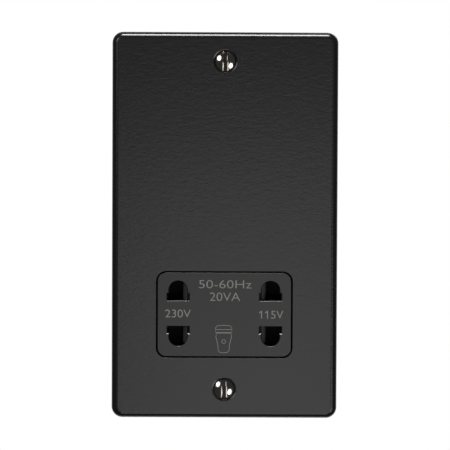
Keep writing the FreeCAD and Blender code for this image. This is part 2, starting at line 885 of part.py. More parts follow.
def terminal_body(name):
    """A brass block with a bore from below for the wire and a screw from behind."""
    x = terminals[name]
    half = terminal_width / 2
    seat = socket_bay_rear + (strap_thickness if name == "earth" else 0.0)
    body = block(x - half, x + half, seat, terminal_rear, terminal_bottom, terminal_top)
    body = body.makeChamfer(terminal_edge, [e for e in body.Edges if along(e, V(0, 0, 1))])
    if name != "earth":
        tail_front = socket_bay_rear - housing_wall - terminal_tail_reach
        body = joined([body, rod(terminal_tail_radius, tail_front, seat, x, terminal_z)])
    bore_base = V(x, terminal_bore_y, terminal_bottom)
    bore = Part.makeCylinder(terminal_bore_radius, terminal_length, bore_base, V(0, 0, 1))
    return body.cut(bore).cut(rod(terminal_screw_radius, terminal_bore_y, terminal_rear, x, terminal_z))


def terminal_screw(x):
    tip = terminal_bore_y + terminal_bore_radius + terminal_screw_clearance
    seat = terminal_rear + terminal_screw_clearance
    end = seat + terminal_head_height
    body = screw(terminal_screw_radius, tip, seat, end, terminal_head_radius, x, terminal_z)
    half = head_slot_width / 2
    reach = terminal_head_radius + cut_past
    return body.cut(block(
        x - half, x + half, end - head_slot_depth, end + cut_past, terminal_z - reach, terminal_z + reach,
    ))


def terminal_screws():
    return Part.makeCompound([terminal_screw(x) for x in terminals.values()])


def earth_strap():
    half = strap_thickness / 2
    side = housing_width / 2 + frame_clearance + half
    foot_y, rear_y = plate_back_y + half, socket_bay_rear + half
    end = terminal_pitch - terminal_width / 2 + half
    points = [(strap_foot_end, foot_y), (side, foot_y), (side, rear_y), (end, rear_y)]
    return bent_strip([V(x, y, terminal_z) for x, y in points], strap_thickness, V(0, 0, strap_width))


# All the pieces


def build():
    lower, upper = winding_spans()
    parts = {
        "face_plate": face_plate(),
        "fixing_screws": fixing_screws(),
        "screw_retainers": screw_retainers(),
        "socket_insert": socket_insert(),
        "mounting_frame": mounting_frame(),
        "contact_base": contact_base(),
        "interlock_shutter": interlock_shutter(),
        "return_spring_left": return_spring(-1),
        "return_spring_right": return_spring(1),
        "switch_strip_common": switch_strip_common(),
        "switch_strip_load": switch_strip_load(),
        "switch_bridge": switch_bridge(),
        "mechanism_screws": mechanism_screws(),
        "core_e_stack": core_e_stack(),
        "core_i_stack": core_i_stack(),
        "core_screws": core_screws(),
        "winding_bobbin": winding_bobbin(),
        "primary_winding": winding(*lower),
        "secondary_winding": winding(*upper),
        "thermal_cutout": thermal_cutout(),
        "rear_housing": rear_housing(),
        "housing_screws": housing_screws(),
        "terminal_screws": terminal_screws(),
        "earth_strap": earth_strap(),
    }
    for outlet, x in outlets.items():
        for place, side in (("lower", -1), ("upper", 1)):
            parts[f"contact_{outlet}_{place}"] = leaf_contact(x, side)
    for name in terminals:
        parts["terminal_" + name] = terminal_body(name)
    return parts


os.makedirs("parts", exist_ok=True)
for node, shape in build().items():
    shape.exportStep(f"parts/{node}.step")
    print(node, shape.isValid(), len(shape.Solids), round(shape.Volume, 1))
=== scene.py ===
import math

import bmesh
import bpy
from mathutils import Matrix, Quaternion, Vector


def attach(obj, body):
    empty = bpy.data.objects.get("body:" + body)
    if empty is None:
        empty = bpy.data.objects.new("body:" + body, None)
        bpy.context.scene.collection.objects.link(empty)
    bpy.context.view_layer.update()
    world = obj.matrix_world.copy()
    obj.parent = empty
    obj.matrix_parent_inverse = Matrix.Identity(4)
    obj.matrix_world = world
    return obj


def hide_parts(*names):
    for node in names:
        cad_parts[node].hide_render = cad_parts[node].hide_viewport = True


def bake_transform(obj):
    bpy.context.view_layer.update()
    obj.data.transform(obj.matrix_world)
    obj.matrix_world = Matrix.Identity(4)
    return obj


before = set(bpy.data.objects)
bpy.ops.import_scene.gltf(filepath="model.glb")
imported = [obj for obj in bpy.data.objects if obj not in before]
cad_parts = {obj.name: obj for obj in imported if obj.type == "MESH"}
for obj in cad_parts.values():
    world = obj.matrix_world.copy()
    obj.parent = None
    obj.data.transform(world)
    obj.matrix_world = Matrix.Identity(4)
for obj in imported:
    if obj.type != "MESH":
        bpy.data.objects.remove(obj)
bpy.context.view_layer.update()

# The studio. The photograph looks straight at the plate from a little above, through a long lens,
# at a socket that hangs in front of nothing. So the camera is far off, and the floor lies well below.

mm = 0.001
image_width, pixels_per_mm = 450, 2.7215
camera_distance, plate_face = 1100, 5  # mm
camera_height, camera_roll = 2.6, 0.245  # degrees
camera_near, camera_far = 0.05, 20  # m
aim = Vector((0.11, 0, 0)) * mm
sensor = 36.0  # mm

look = Vector((0, math.cos(math.radians(camera_height)), -math.sin(math.radians(camera_height))))
camera = bpy.data.objects.new("camera", bpy.data.cameras.new("camera"))
bpy.context.scene.collection.objects.link(camera)
camera.location = aim - look * camera_distance * mm
camera.rotation_mode = "QUATERNION"
camera.rotation_quaternion = (
    look.to_track_quat("-Z", "Y") @ Quaternion((0, 0, 1), math.radians(camera_roll)))
camera.data.sensor_width = sensor
camera.data.lens = pixels_per_mm * (camera_distance - plate_face) * sensor / image_width
camera.data.clip_start, camera.data.clip_end = camera_near, camera_far
bpy.context.scene.camera = camera
bpy.context.scene.view_settings.view_transform = "Standard"


def paint(colour):
    """The linear colour of an sRGB hex value."""
    parts = [int(colour[n:n + 2], 16) / 255 for n in (1, 3, 5)]
    return [c / 12.92 if c <= 0.04045 else ((c + 0.055) / 1.055) ** 2.4 for c in parts] + [1]


def add(tree, kind, inputs=None, **settings):
    """One node with its settings; an input is a value or another node's output."""
    node = tree.nodes.new(kind)
    for name, value in settings.items():
        setattr(node, name, value)
    for name, value in (inputs or {}).items():
        if isinstance(value, bpy.types.NodeSocket):
            tree.links.new(value, node.inputs[name])
        else:
            node.inputs[name].default_value = value
    return node


# The room is pale behind the socket and dim in front of it, so that the edges of a dark plate stay crisp.
# Polished metal mirrors a whiter, narrower part of it, and the camera sees plain white.
dim = 0.035
world = bpy.data.worlds.new("studio")
bpy.context.scene.world = world
world.use_nodes = True
room = world.node_tree
room.nodes.clear()
backward = add(room, "ShaderNodeSeparateXYZ", {
    0: add(room, "ShaderNodeTexCoord").outputs["Generated"],
}).outputs["Y"]
ray = add(room, "ShaderNodeLightPath").outputs
lighting = add(room, "ShaderNodeMapRange", {
    "Value": backward, "From Min": -0.1, "From Max": 0.5, "To Min": dim, "To Max": 0.95,
}, interpolation_type="SMOOTHSTEP").outputs["Result"]
backdrop = add(room, "ShaderNodeMapRange", {
    "Value": backward, "From Min": 0.35, "From Max": 0.95, "To Min": dim, "To Max": 1.0,
}, interpolation_type="SMOOTHSTEP").outputs["Result"]
mirrored = add(room, "ShaderNodeMath", {
    0: ray["Is Glossy Ray"], 1: ray["Is Transmission Ray"],
}, operation="ADD", use_clamp=True).outputs[0]
shown = add(room, "ShaderNodeMix", {0: mirrored, 2: lighting, 3: backdrop}).outputs[0]
strength = add(room, "ShaderNodeMix", {0: ray["Is Camera Ray"], 2: shown, 3: 1.0}).outputs[0]
glow = add(room, "ShaderNodeBackground", {"Color": (1, 1, 1, 1), "Strength": strength}).outputs[0]
add(room, "ShaderNodeOutputWorld", {"Surface": glow})

# Soft boxes, in metres and watts: one high in front, which draws the bright line along the plate's top edge,
# a round one at each side of the camera, which makes the two spots on each screw head, a tall one low in
# front, whose sheen fades up the plate, and one behind for the back.
for name, outline, place, width, height, watts in (
    ("lamp_above", "RECTANGLE", (0.0, -0.466, 1.106), 0.50, 0.39, 13.8),
    ("lamp_left", "ELLIPSE", (-1.23, -1.69, 0.70), 0.80, 1.03, 6.3),
    ("lamp_right", "ELLIPSE", (1.14, -1.80, -0.84), 0.84, 1.22, 7.6),
    ("lamp_low", "RECTANGLE", (0.022, -0.428, -0.218), 0.22, 0.54, 0.45),
    ("lamp_behind", "RECTANGLE", (0.50, 1.00, 0.80), 0.90, 0.60, 4.0),
):
    lamp = bpy.data.objects.new(name, bpy.data.lights.new(name, "AREA"))
    bpy.context.scene.collection.objects.link(lamp)
    lamp.data.shape, lamp.data.size, lamp.data.size_y, lamp.data.energy = outline, width, height, watts
    lamp.location = place
    lamp.rotation_mode = "QUATERNION"
    lamp.rotation_quaternion = (-Vector(place)).to_track_quat("-Z", "Y")
    lamp.visible_camera = False


def material(name):
    """An empty node material, its tree, and the place on the piece that its patterns are laid out by."""
    made = bpy.data.materials.new(name)
    made.use_nodes = True
    made.node_tree.nodes.clear()
    return made, made.node_tree, add(made.node_tree, "ShaderNodeTexCoord").outputs["Object"]


def placed(name, mesh):
    """A new object of the scene from a mesh in the making, which is then freed."""
    made = bpy.data.objects.new(name, bpy.data.meshes.new(name))
    mesh.to_mesh(made.data)
    mesh.free()
    bpy.context.scene.collection.objects.link(made)
    return made


# The floor is a pale round board that thins out into the white of the room before its edge. The camera sees
# it a little brighter than the lamps make it, so that it joins that white.
floor_level, floor_radius, floor_back = -430, 700, 650  # mm
thin_from, thin_to = 0.6 * floor_radius, 0.98 * floor_radius
floor_lift = 0.25
board = bmesh.new()
bmesh.ops.create_circle(board, cap_ends=True, segments=96, radius=floor_radius * mm)
floor = placed("floor", board)
floor.location = (0, floor_back * mm, floor_level * mm)
painted_board, tree, place = material("matt_white_painted_board")
distance = add(tree, "ShaderNodeVectorMath", {0: place}, operation="LENGTH").outputs["Value"]
thinning = add(tree, "ShaderNodeMapRange", {
    "Value": distance, "From Min": thin_from * mm, "From Max": thin_to * mm,
}, interpolation_type="SMOOTHSTEP").outputs["Result"]
matt = add(tree, "ShaderNodeBsdfDiffuse", {"Color": paint("#f2f2f0")}).outputs[0]
seen = add(tree, "ShaderNodeMath", {
    0: add(tree, "ShaderNodeLightPath").outputs["Is Camera Ray"], 1: floor_lift,
}, operation="MULTIPLY").outputs[0]
lift = add(tree, "ShaderNodeEmission", {"Strength": seen}).outputs[0]
lifted = add(tree, "ShaderNodeAddShader", {0: matt, 1: lift}).outputs[0]
clear = add(tree, "ShaderNodeBsdfTransparent").outputs[0]
surface = add(tree, "ShaderNodeMixShader", {0: thinning, 1: lifted, 2: clear}).outputs[0]
add(tree, "ShaderNodeOutputMaterial", {"Surface": surface})
floor.data.materials.append(painted_board)


# Face plate: pressed from 1.2 mm steel sheet with a rolled edge, a countersunk dimple for each fixing
# screw and a window for the insert, then sprayed with a fine textured black coating.

plate_width, plate_height, plate_depth = 83.0, 142.0, 5.0
sheet = 1.2
plate_corner, plate_roll = 4.0, 2.4
front = -plate_depth
plate_back = front + sheet
fixing_pitch = 120.6
dimple_radius, dimple_hole, dimple_end = 4.1, 2.1, front + 2.8
# The dimple's rim dips a little, at lip_tilt degrees, and a dark V-shaped groove stays round the screw head.
dimple_lip, lip_tilt = 0.32, 20
groove_start, groove_foot, groove_depth = 4.15, 3.4, 1.3
insert_width, insert_height, insert_corner, insert_z = 49.4, 31.1, 3.3, -32.8
insert_gap, window_edge = 0.45, 0.05


def rounded(width, height, corner, y, z=0.0, steps=12):
    """The points of a rectangle with round corners at depth y."""
    points = []
    for side, end, start in ((1, 1, 0), (-1, 1, 90), (-1, -1, 180), (1, -1, 270)):
        for n in range(steps + 1):
            angle = math.radians(start + 90 * n / steps)
            points.append((
                side * (width / 2 - corner) + corner * math.cos(angle), y,
                z + end * (height / 2 - corner) + corner * math.sin(angle),
            ))
    return points


def ring(radius, y, z=0.0, x=0.0, steps=72):
    """The points of a circle at depth y."""
    turns = [2 * math.pi * n / steps for n in range(steps)]
    return [(x + radius * math.cos(a), y, z + radius * math.sin(a)) for a in turns]


def arc(start, end, steps):
    """Angles in radians from start to end, in degrees."""
    return [math.radians(start + (end - start) * n / steps) for n in range(steps + 1)]


def quarter(radius, steps):
    """A rounded edge from face to side, in pairs: how far in from the side and how far back from the face."""
    return [(radius * (1 - math.sin(a)), radius * (1 - math.cos(a))) for a in arc(0, 90, steps)]


def sharpen(mesh, angle):
    """Mark the edges that bend by more than the angle in degrees as sharp."""
    for edge in mesh.edges:
        if len(edge.link_faces) == 2 and edge.calc_face_angle() > math.radians(angle):
            edge.smooth = False


def shell(name, outer, holes, body, smooth_angle=30):
    """A closed piece: flat front and back, its outside and each hole skinned from ring to ring."""
    mesh = bmesh.new()
    front_edges, back_edges = [], []
    for rings in [outer] + holes:
        loops = [[mesh.verts.new(Vector(p) * mm) for p in points] for points in rings]
        for a, b in zip(loops, loops[1:]):
            for n in range(len(a)):
                mesh.faces.new((a[n - 1], a[n], b[n], b[n - 1]))
        for edges, points in ((front_edges, loops[0]), (back_edges, loops[-1])):
            edges += [mesh.edges.get((points[n - 1], points[n])) for n in range(len(points))]
    sides = set(mesh.faces)
    for edges in (front_edges, back_edges):
        bmesh.ops.triangle_fill(mesh, edges=edges, use_beauty=True)
    for face in mesh.faces:
        face.smooth = face in sides
    bmesh.ops.recalc_face_normals(mesh, faces=mesh.faces)
    sharpen(mesh, smooth_angle)
    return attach(placed(name, mesh), body)


def plate_outline(inset, y):
    """The plate's outline, smaller by the inset all round, at depth y."""
    return rounded(plate_width - 2 * inset, plate_height - 2 * inset, plate_corner - inset, y)


plate_sides = [plate_outline(inset, front + drop) for inset, drop in quarter(plate_roll, 10)]
plate_sides += [plate_outline(0, 0), plate_outline(sheet, 0)]
plate_sides += [plate_outline(sheet + inset, plate_back + drop)
                for inset, drop in reversed(quarter(plate_roll - sheet, 4))]
lip_drop = dimple_lip * math.tan(math.radians(lip_tilt))
collar = dimple_radius + sheet * (math.sqrt(2) - 1)
neck_y = front + dimple_radius - dimple_hole
plate_holes = []
for z in (fixing_pitch / 2, -fixing_pitch / 2):
    plate_holes.append([
        ring(groove_start + dimple_lip, front, z), ring(groove_start, front + lip_drop, z),
        ring(groove_foot, front + groove_depth, z),
        ring(dimple_radius - groove_depth, front + groove_depth, z),
        ring(dimple_hole, neck_y, z), ring(dimple_hole, dimple_end, z),
        ring(collar - (dimple_end - plate_back), dimple_end, z), ring(collar, plate_back, z),
    ])


def insert_outline(grow, y):
    """The insert's outline, larger by grow all round, at depth y."""
    return rounded(insert_width + 2 * grow, insert_height + 2 * grow, insert_corner + grow, y, insert_z)


window = [insert_outline(insert_gap + inset, front + drop) for inset, drop in quarter(window_edge, 4)]
plate_holes.append(window + [insert_outline(insert_gap, plate_back)])
face_plate = shell("face_plate_pressing", plate_sides, plate_holes, "housing")

# Sprayed polyester coating: black, low sheen, with a fine leathery wrinkle that runs across the plate, drawn
# a little coarser than it is so that it shows. It softens the reflections on the face. On the rolled edge the
# coating flows thinner and smoother, so a lamp is drawn there as a crisp line.
coating, tree, place = material("textured_black_polyester_coating")
stretched = add(tree, "ShaderNodeMapping", {"Vector": place, "Scale": (0.45, 1.0, 1.0)}).outputs[0]
wrinkle_size = 1.1  # mm
wrinkle = add(tree, "ShaderNodeTexNoise", {
    "Vector": stretched, "Scale": 1000 / wrinkle_size, "Detail": 3.0, "Roughness": 0.55, "Distortion": 0.6,
}).outputs["Fac"]
facing = add(tree, "ShaderNodeSeparateXYZ", {
    0: add(tree, "ShaderNodeTexCoord").outputs["Normal"],
}).outputs["Y"]
edge_flow = add(tree, "ShaderNodeMapRange", {
    "Value": facing, "From Min": -0.995, "From Max": -0.94,
}, interpolation_type="SMOOTHSTEP").outputs["Result"]
wrinkle_depth = add(tree, "ShaderNodeMapRange", {
    "Value": edge_flow, "To Min": 1.0, "To Max": 0.15,
}).outputs["Result"]
relief = add(tree, "ShaderNodeBump", {
    "Height": wrinkle, "Strength": wrinkle_depth, "Distance": 0.05 * mm,
}).outputs["Normal"]
sheen = add(tree, "ShaderNodeMapRange", {"Value": edge_flow, "To Min": 0.28, "To Max": 0.2}).outputs["Result"]
shader = add(tree, "ShaderNodeBsdfPrincipled", {
    "Base Color": paint("#181818"), "Roughness": sheen, "IOR": 1.55, "Normal": relief,
}).outputs[0]
add(tree, "ShaderNodeOutputMaterial", {"Surface": shader})
face_plate.data.materials.append(coating)
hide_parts("face_plate")


# Fixing screws: two M3.5 raised countersunk steel screws, one slot, cold headed and threaded by rolling,
# with a polished dark nickel plate. They pass through the dimples into the lugs of the wall box.

head_radius, head_dome = 3.6, 0.9
slot_width, slot_depth, slot_edge = 0.9, 1.0, 0.42
head_rim = front + dimple_radius - head_radius
head_sphere = (head_radius ** 2 + head_dome ** 2) / (2 * head_dome)
screw_radius, screw_core, screw_start, screw_end = 1.75, 1.4, -0.5, 25.0
thread_pitch, plain_end, point_length, point_inset = 0.6, 1.0, 0.6, 0.5
touching = 0.0001  # mm, points nearer than this are one


def lathe(mesh, profile, x, z, steps=48, closed_start=False, closed_end=True):
    """Rings turned about a line along Y, from (radius, y) pairs."""
    loops = [[mesh.verts.new(Vector(p) * mm) for p in ring(r, y, z, x, steps)] for r, y in profile]
    for a, b in zip(loops, loops[1:]):
        for n in range(steps):
            mesh.faces.new((a[n - 1], a[n], b[n], b[n - 1]))
    if closed_start:
        mesh.faces.new(loops[0])
    if closed_end:
        mesh.faces.new(loops[-1])
    return loops


def slotted_top(mesh, x, z, radius, crown, inward, sphere, half, depth, edge, rows=25):
    """A head's top in columns across its slot, domed on a sphere or flat where sphere is 0; gives its rim."""
    # Each column is its place across the slot, its drop, and whether it is the slot's floor.
    columns = [(-radius * math.cos(a), 0.0, False) for a in arc(3, 84, 20)
               if radius * math.cos(a) > half + 1.4 * edge]
    columns += [(-half - inset, drop, False) for inset, drop in quarter(edge, 5)]
    columns += [(-half, depth, True)]
    columns += [(-u, drop, deep) for u, drop, deep in reversed(columns)]
    verts = []
    for u, drop, deep in columns:
        reach = math.sqrt(radius ** 2 - u * u)
        line = []
        for n in range(rows):
            w = reach * math.sin(math.radians(-90 + 180 * n / (rows - 1)))
            fall = sphere - math.sqrt(sphere ** 2 - u * u - w * w) if sphere and not deep else 0.0
            line.append(mesh.verts.new(Vector((x + u, crown + inward * (drop + fall), z + w)) * mm))
        verts.append(line)
    for (a, b), (left, right) in zip(zip(verts, verts[1:]), zip(columns, columns[1:])):
        for n in range(1, rows):
            face = mesh.faces.new((a[n - 1], a[n], b[n], b[n - 1]))
            # The slot's walls and floor take the second finish, which on the fixing screws is painted shade.
            face.material_index = int(left[2] or right[2])
    rim = [line[-1] for line in verts] + verts[-1][-2::-1]
    return rim + [line[0] for line in reversed(verts[:-1])] + verts[0][1:-1]


def skirt(mesh, rim, x, z, inward, steps):
    """The sides below a slotted top, ring by ring from (radius, y), that leave the slot's ends open."""
    for radius, y in steps:
        below = []
        for v in rim:
            flat = Vector((v.co.x - x * mm, 0, v.co.z - z * mm)).normalized() * radius * mm
            level = inward * max(inward * y * mm, inward * v.co.y)
            below.append(mesh.verts.new((x * mm + flat.x, level, z * mm + flat.z)))
        for n in range(len(rim)):
            mesh.faces.new((rim[n - 1], rim[n], below[n], below[n - 1]))
        rim = below
    mesh.faces.new(rim)


def finished(name, mesh, body, finishes, smooth_angle=30):
    """A mesh piece, welded and with its sharp edges marked, on its body and in its finishes."""
    bmesh.ops.remove_doubles(mesh, verts=mesh.verts, dist=touching * mm)
    bmesh.ops.recalc_face_normals(mesh, faces=mesh.faces)
    for face in mesh.faces:
        face.smooth = True
    sharpen(mesh, smooth_angle)
    piece = placed(name, mesh)
    for finish in finishes:
        piece.data.materials.append(finish)
    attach(piece, body)
    return piece


def threaded(core, crest, start, stop, pitch):
    """Radius and y of a thread's whole turns from start towards stop, drawn as rings with flat crests."""
    profile = [(core, start)]
    for n in range(int((stop - start) / pitch)):
        y = start + n * pitch
        profile += [(crest, y + 0.45 * pitch), (crest, y + 0.55 * pitch), (core, y + pitch)]
    return profile


screws = bmesh.new()
neck = head_rim + head_radius - screw_core
for z in (fixing_pitch / 2, -fixing_pitch / 2):
    rim = slotted_top(screws, 0, z, head_radius, head_rim - head_dome, 1, head_sphere,
                      slot_width / 2, slot_depth, slot_edge)
    skirt(screws, rim, 0, z, 1, ((screw_core, neck),))
    shank = [(screw_core, neck)]
    shank += threaded(screw_core, screw_radius, screw_start, screw_end - plain_end, thread_pitch)
    shank += [(screw_core, screw_end - point_length), (screw_core - point_inset, screw_end)]
    lathe(screws, shank, 0, z, steps=32, closed_start=True)

# Dark nickel plate: a polished mirror of a warm grey, slightly hazed by handling.
nickel, tree, place = material("polished_dark_nickel_plate")
haze_size = 1.5  # mm
haze = add(tree, "ShaderNodeTexNoise", {
    "Vector": place, "Scale": 1000 / haze_size, "Detail": 2.0,
}).outputs["Fac"]
polish = add(tree, "ShaderNodeMapRange", {
    "Value": haze, "From Min": 0.3, "From Max": 0.7, "To Min": 0.08, "To Max": 0.14,
}).outputs["Result"]
shader = add(tree, "ShaderNodeBsdfPrincipled", {
    "Base Color": paint("#cfc9c1"), "Metallic": 1.0, "Roughness": polish,
}).outputs[0]
add(tree, "ShaderNodeOutputMaterial", {"Surface": shader})

# The slot keeps its saw marks, so it stays dull, and it is coloured darker: painted shade in the recess.
sawn_nickel_painted_shade, tree, place = material("sawn_nickel_slot_painted_shade")
along_slot = add(tree, "ShaderNodeMapping", {"Vector": place, "Scale": (1.0, 1.0, 0.1)}).outputs[0]
saw_mark = 0.15  # mm
saw = add(tree, "ShaderNodeTexNoise", {
    "Vector": along_slot, "Scale": 1000 / saw_mark, "Detail": 2.0,
}).outputs["Fac"]
scored = add(tree, "ShaderNodeBump", {
    "Height": saw, "Strength": 0.6, "Distance": 0.02 * mm,
}).outputs["Normal"]
shader = add(tree, "ShaderNodeBsdfPrincipled", {
    "Base Color": paint("#3c3733"), "Metallic": 1.0, "Roughness": 0.5, "Normal": scored,
}).outputs[0]
add(tree, "ShaderNodeOutputMaterial", {"Surface": shader})
fixing_screws = finished("fixing_screw_pair", screws, "housing", [nickel, sawn_nickel_painted_shade],
                         smooth_angle=35)
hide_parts("fixing_screws")


# Screw retainers: two punched nylon washers, pushed over the screw threads behind the dimples, so that
# the screws stay in the plate when it is off the wall.

retainer_edge = 0.12
mesh_weld = 0.002  # mm
flat_angle, edge_angle = 1, 40  # degrees


def dress(names, finish, edge=0.0, segments=2, merged=False):
    """Give nodes of the frame their finish, and their edges the small radius that their making leaves.

    Doubled points are welded first, and flat faces merged where thin triangles would fold under that radius.
    """
    for name in names:
        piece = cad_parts[name]
        piece.data.materials.clear()
        piece.data.materials.append(finish)
        if edge:
            weld = piece.modifiers.new("weld", "WELD")
            weld.merge_threshold = mesh_weld * mm
            if merged:
                flat = piece.modifiers.new("flat", "DECIMATE")
                flat.decimate_type, flat.angle_limit = "DISSOLVE", math.radians(flat_angle)
            bevel = piece.modifiers.new("edge", "BEVEL")
            bevel.width, bevel.segments, bevel.limit_method = edge * mm, segments, "ANGLE"
            bevel.angle_limit = math.radians(edge_angle)
            bevel.harden_normals = True


# Natural nylon: a waxy off-white, a little translucent, with faint cloudy flow from the mould.
nylon, tree, place = material("moulded_natural_nylon")
flow_size = 3.0  # mm
flow = add(tree, "ShaderNodeTexNoise", {
    "Vector": place, "Scale": 1000 / flow_size, "Detail": 2.0,
}).outputs["Fac"]
shade = add(tree, "ShaderNodeMix", {0: flow, 6: paint("#d8d2c0"), 7: paint("#e2ddce")}, data_type="RGBA")
shader = add(tree, "ShaderNodeBsdfPrincipled", {
    "Base Color": shade.outputs[2], "Roughness": 0.42, "IOR": 1.53, "Subsurface Weight": 0.15,
    "Subsurface Scale": 1.0 * mm,
}).outputs[0]
add(tree, "ShaderNodeOutputMaterial", {"Surface": shader})
dress(["screw_retainers"], nylon, retainer_edge)


# Mounting frame: one black glass-filled nylon moulding that stiffens the plate from inside its rim, with
# cross ribs and four bosses. The plate snaps over it, and the rear housing is screwed to the bosses.

frame_edge = 0.2

# Glass-filled nylon: near black and matt, with short fibres that lie along the flow and catch the light.
glass_nylon, tree, place = material("moulded_black_glass_filled_nylon")
fibre_length, fibre_width = 1.2, 0.2  # mm, drawn coarser than the real 0.3 by 0.01 so that they show
along_flow = add(tree, "ShaderNodeMapping", {
    "Vector": place, "Scale": (1.0, 1.0, fibre_width / fibre_length),
}).outputs[0]
fibres = add(tree, "ShaderNodeTexNoise", {
    "Vector": along_flow, "Scale": 1000 / fibre_width, "Detail": 2.0,
}).outputs["Fac"]
raised = add(tree, "ShaderNodeBump", {
    "Height": fibres, "Strength": 0.5, "Distance": 0.01 * mm,
}).outputs["Normal"]
shade = add(tree, "ShaderNodeMix", {0: fibres, 6: paint("#0c0c0c"), 7: paint("#1a1a1a")}, data_type="RGBA")
dullness = add(tree, "ShaderNodeMapRange", {
    "Value": fibres, "To Min": 0.55, "To Max": 0.75,
}).outputs["Result"]
shader = add(tree, "ShaderNodeBsdfPrincipled", {
    "Base Color": shade.outputs[2], "Roughness": dullness, "IOR": 1.53, "Normal": raised,
}).outputs[0]
add(tree, "ShaderNodeOutputMaterial", {"Surface": shader})
dress(["mounting_frame"], glass_nylon, frame_edge)


# Socket insert: a black urea moulding, flush with the plate, with four stepped apertures. Its flange
# is clamped behind the plate, and two screws from behind hold it to the contact base.

insert_thickness, insert_flange, insert_edge = 2.8, 2.0, 0.12
insert_back = front + insert_thickness
# Its sides widen by the draft down to a foot, and from there a notch runs back under the plate's edge.
insert_draft, insert_foot, notch_lap = 0.15, 2.4, 0.15
outlet_x, outlet_z = 17.0, insert_z + 0.4
blade_half, pin_half = 8.45 / 2, 3.5
# Distances from the outlet's middle to where an aperture starts, widens and ends.
aperture_start, aperture_step, aperture_end = 4.6, 7.5, 12.15
# The lead-in round each aperture, and the share of it that its two ends have.
lead_in, lead_in_depth, slight = 0.3, 0.21, 0.22


def aperture_outline(x, side, grow, y, drop=0.0, steps=16):
    """A blade slot by the outlet's middle and an arched pin slot beyond, with less lead-in at its ends."""
    blade, pin = blade_half + grow, pin_half + grow
    start, step, spring = aperture_start - grow * slight, aperture_step + grow, aperture_end - pin_half
    points = [(-pin, step, 1), (-blade, step, 1), (-blade, start, slight),
              (blade, start, slight), (blade, step, 1), (pin, step, 1)]
    for a in arc(0, 180, steps):
        share = 1 - (1 - slight) * math.sin(a)
        radius = pin_half + grow * share
        points.append((radius * math.cos(a), spring + radius * math.sin(a), share))
    return [(x + u, y + drop * share, outlet_z + side * w) for u, w, share in points]


insert_sides = [insert_outline(-insert_draft - inset, front + drop)
                for inset, drop in quarter(insert_edge, 4)]
insert_sides += [
    insert_outline(0, front + insert_foot),
    insert_outline(insert_gap + notch_lap, plate_back),
    insert_outline(insert_flange, plate_back),
    insert_outline(insert_flange, insert_back),
]
insert_holes = [
    [aperture_outline(x, side, lead_in / 2, front),
     aperture_outline(x, side, -lead_in / 2, front, lead_in_depth),
     aperture_outline(x, side, -lead_in / 2, insert_back)]
    for x in (-outlet_x, outlet_x) for side in (-1, 1)
]
socket_insert = shell("socket_insert_moulding", insert_sides, insert_holes, "housing", smooth_angle=28)

# Moulded urea: hard, dense black with a low even sheen from a lightly eroded tool.
urea, tree, place = material("moulded_black_urea")
tool_grain = 0.12  # mm
grain = add(tree, "ShaderNodeTexNoise", {
    "Vector": place, "Scale": 1000 / tool_grain, "Detail": 2.0,
}).outputs["Fac"]
relief = add(tree, "ShaderNodeBump", {
    "Height": grain, "Strength": 0.15, "Distance": 0.005 * mm,
}).outputs["Normal"]
shader = add(tree, "ShaderNodeBsdfPrincipled", {
    "Base Color": paint("#171717"), "Roughness": 0.3, "IOR": 1.55, "Normal": relief,
}).outputs[0]
add(tree, "ShaderNodeOutputMaterial", {"Surface": shader})
socket_insert.data.materials.append(urea)
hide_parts("socket_insert")


# Printing on the insert: thin pad-printed grey ink, the two voltages beside their outlets, a generic
# rating between them and a plain outline of a shaver.

print_height = 0.02


def printed(name, words, width, height, x, z, thinning=0.0):
    """A line of print scaled to its measured width and height."""
    text = bpy.data.curves.new(name, "FONT")
    text.body = words
    text.extrude = print_height / 2
    text.offset = -thinning
    maker = bpy.data.objects.new(name, text)
    bpy.context.scene.collection.objects.link(maker)
    shape = bpy.data.meshes.new_from_object(maker.evaluated_get(bpy.context.evaluated_depsgraph_get()))
    bpy.data.objects.remove(maker)
    low = [min(v.co[n] for v in shape.vertices) for n in (0, 1)]
    high = [max(v.co[n] for v in shape.vertices) for n in (0, 1)]
    for v in shape.vertices:
        u = (v.co.x - (low[0] + high[0]) / 2) / (high[0] - low[0]) * width
        w = (v.co.y - (low[1] + high[1]) / 2) / (high[1] - low[1]) * height
        v.co = Vector((x + u, front - v.co.z, z + w)) * mm
    letters = bmesh.new()
    letters.from_mesh(shape)
    bpy.data.meshes.remove(shape)
    bmesh.ops.remove_doubles(letters, verts=letters.verts, dist=touching * mm)
    bmesh.ops.recalc_face_normals(letters, faces=letters.faces)
    piece = placed(name, letters)
    piece.data.materials.append(ink)
    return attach(piece, "housing")


# Pad-printing ink: flat mid grey, no gloss of its own.
ink, tree, place = material("grey_pad_printing_ink")
screen_size = 0.2  # mm
cover = add(tree, "ShaderNodeTexNoise", {
    "Vector": place, "Scale": 1000 / screen_size, "Detail": 1.0,
}).outputs["Fac"]
shade = add(tree, "ShaderNodeMix", {0: cover, 6: paint("#7e7e79"), 7: paint("#8d8d87")}, data_type="RGBA")
shader = add(tree, "ShaderNodeBsdfPrincipled", {
    "Base Color": shade.outputs[2], "Roughness": 0.6, "IOR": 1.5,
}).outputs[0]
add(tree, "ShaderNodeOutputMaterial", {"Surface": shader})
printed("print_230", "230V", 9.4, 2.9, -17.05, -32.45, thinning=0.004)
printed("print_115", "5V", 4.5, 2.9, 19.45, -32.75, thinning=0.004)
printed("print_frequency", "50-60Hz", 19.4, 3.0, 0.3, -21.6, thinning=0.009)
printed("print_power", "20VA", 11.2, 3.1, 0.2, -26.2, thinning=0.009)


